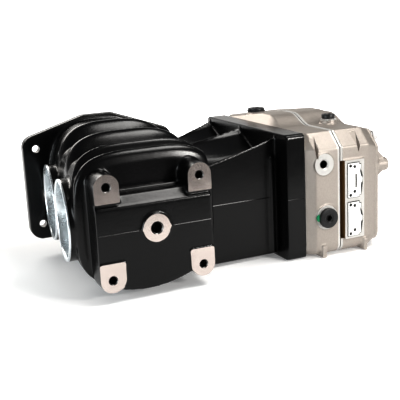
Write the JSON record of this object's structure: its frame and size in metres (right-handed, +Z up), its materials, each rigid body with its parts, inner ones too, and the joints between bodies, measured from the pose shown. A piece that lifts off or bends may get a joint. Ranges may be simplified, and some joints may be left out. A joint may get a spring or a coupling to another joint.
{
  "type": "supercharger",
  "caption": "Electric twin-rotor supercharger: ribbed black housing with side-by-side air inlets, rear outlet flange and mounting pad, bare gear case and motor cover.",
  "frame": {"origin": "under the middle of the unit's box, on the surface it stands on", "axes": "+X along the rotor shafts from the air inlets to the motor, +Y from the mounting pad to the outlet flange, +Z up"},
  "size_m": [0.441, 0.2746, 0.189],
  "materials": {
    "black_enamel": "satin black enamel over cast aluminium",
    "cast_aluminium": "bare sand-cast aluminium",
    "machined_aluminium": "turned or milled aluminium",
    "bearing_steel": "ground steel",
    "black_plug": "black oxide",
    "seal_rubber": "moulded rubber",
    "copper_winding": "enamelled copper wire",
    "motor_laminations": "stacked electrical steel",
    "circuit_board": "solder-masked laminate"
  },
  "bodies": {
    "housing": {"rotor_housing": "black_enamel", "near_inlet_sleeve": "machined_aluminium", "far_inlet_sleeve": "machined_aluminium", "bearing_plate": "machined_aluminium", "drain_plug_washer": "machined_aluminium", "breather_washer": "machined_aluminium", "upper_connector_plate": "machined_aluminium", "lower_connector_plate": "machined_aluminium", "gear_case": "cast_aluminium", "motor_cover": "cast_aluminium", "end_lid": "cast_aluminium", "joint_gasket": "seal_rubber", "drive_shaft_seal": "seal_rubber", "driven_shaft_seal": "seal_rubber", "motor_shaft_seal": "seal_rubber", "oil_cap_washer": "seal_rubber", "drain_plug": "black_plug", "breather_plug": "black_plug", "oil_cap": "black_plug", "front_winding": "copper_winding", "rear_winding": "copper_winding", "motor_stator": "motor_laminations", "control_board": "circuit_board", "drive_tail_bearing": "bearing_steel", "driven_tail_bearing": "bearing_steel", "drive_bearing_outer_race": "bearing_steel", "driven_bearing_outer_race": "bearing_steel", "nose_bearing_outer_race": "bearing_steel", "case_bolt_1": "bearing_steel", "case_bolt_2": "bearing_steel", "case_bolt_3": "bearing_steel", "case_bolt_4": "bearing_steel", "case_bolt_5": "bearing_steel", "case_bolt_6": "bearing_steel", "case_bolt_7": "bearing_steel", "plate_screw_1": "bearing_steel", "plate_screw_2": "bearing_steel", "plate_screw_3": "bearing_steel", "plate_screw_4": "bearing_steel", "dowel_pin_1": "bearing_steel", "dowel_pin_2": "bearing_steel"},
    "drive_line": {"drive_rotor": "machined_aluminium", "drive_shaft": "bearing_steel", "drive_timing_gear": "bearing_steel", "drive_gear_nut": "bearing_steel", "drive_bearing_inner_race": "bearing_steel", "motor_rotor": "motor_laminations", "motor_rotor_nut": "bearing_steel", "nose_bearing_inner_race": "bearing_steel"},
    "driven_line": {"driven_rotor": "machined_aluminium", "driven_shaft": "bearing_steel", "driven_timing_gear": "bearing_steel", "driven_gear_nut": "bearing_steel", "driven_bearing_inner_race": "bearing_steel"}
  },
  "joints": [
    {"name": "drive_spin", "type": "hinge", "parent": "housing", "child": "drive_line", "pos_m": [0.0665, -0.02975, 0.082], "axis": [1, 0, 0], "continuous": true},
    {"name": "driven_spin", "type": "hinge", "parent": "housing", "child": "driven_line", "pos_m": [0.0665, 0.04225, 0.082], "axis": [1, 0, 0], "continuous": true}
  ],
  "couplings": [
    {"joint": "driven_spin", "follows": "drive_spin", "ratio": -1}
  ]
}
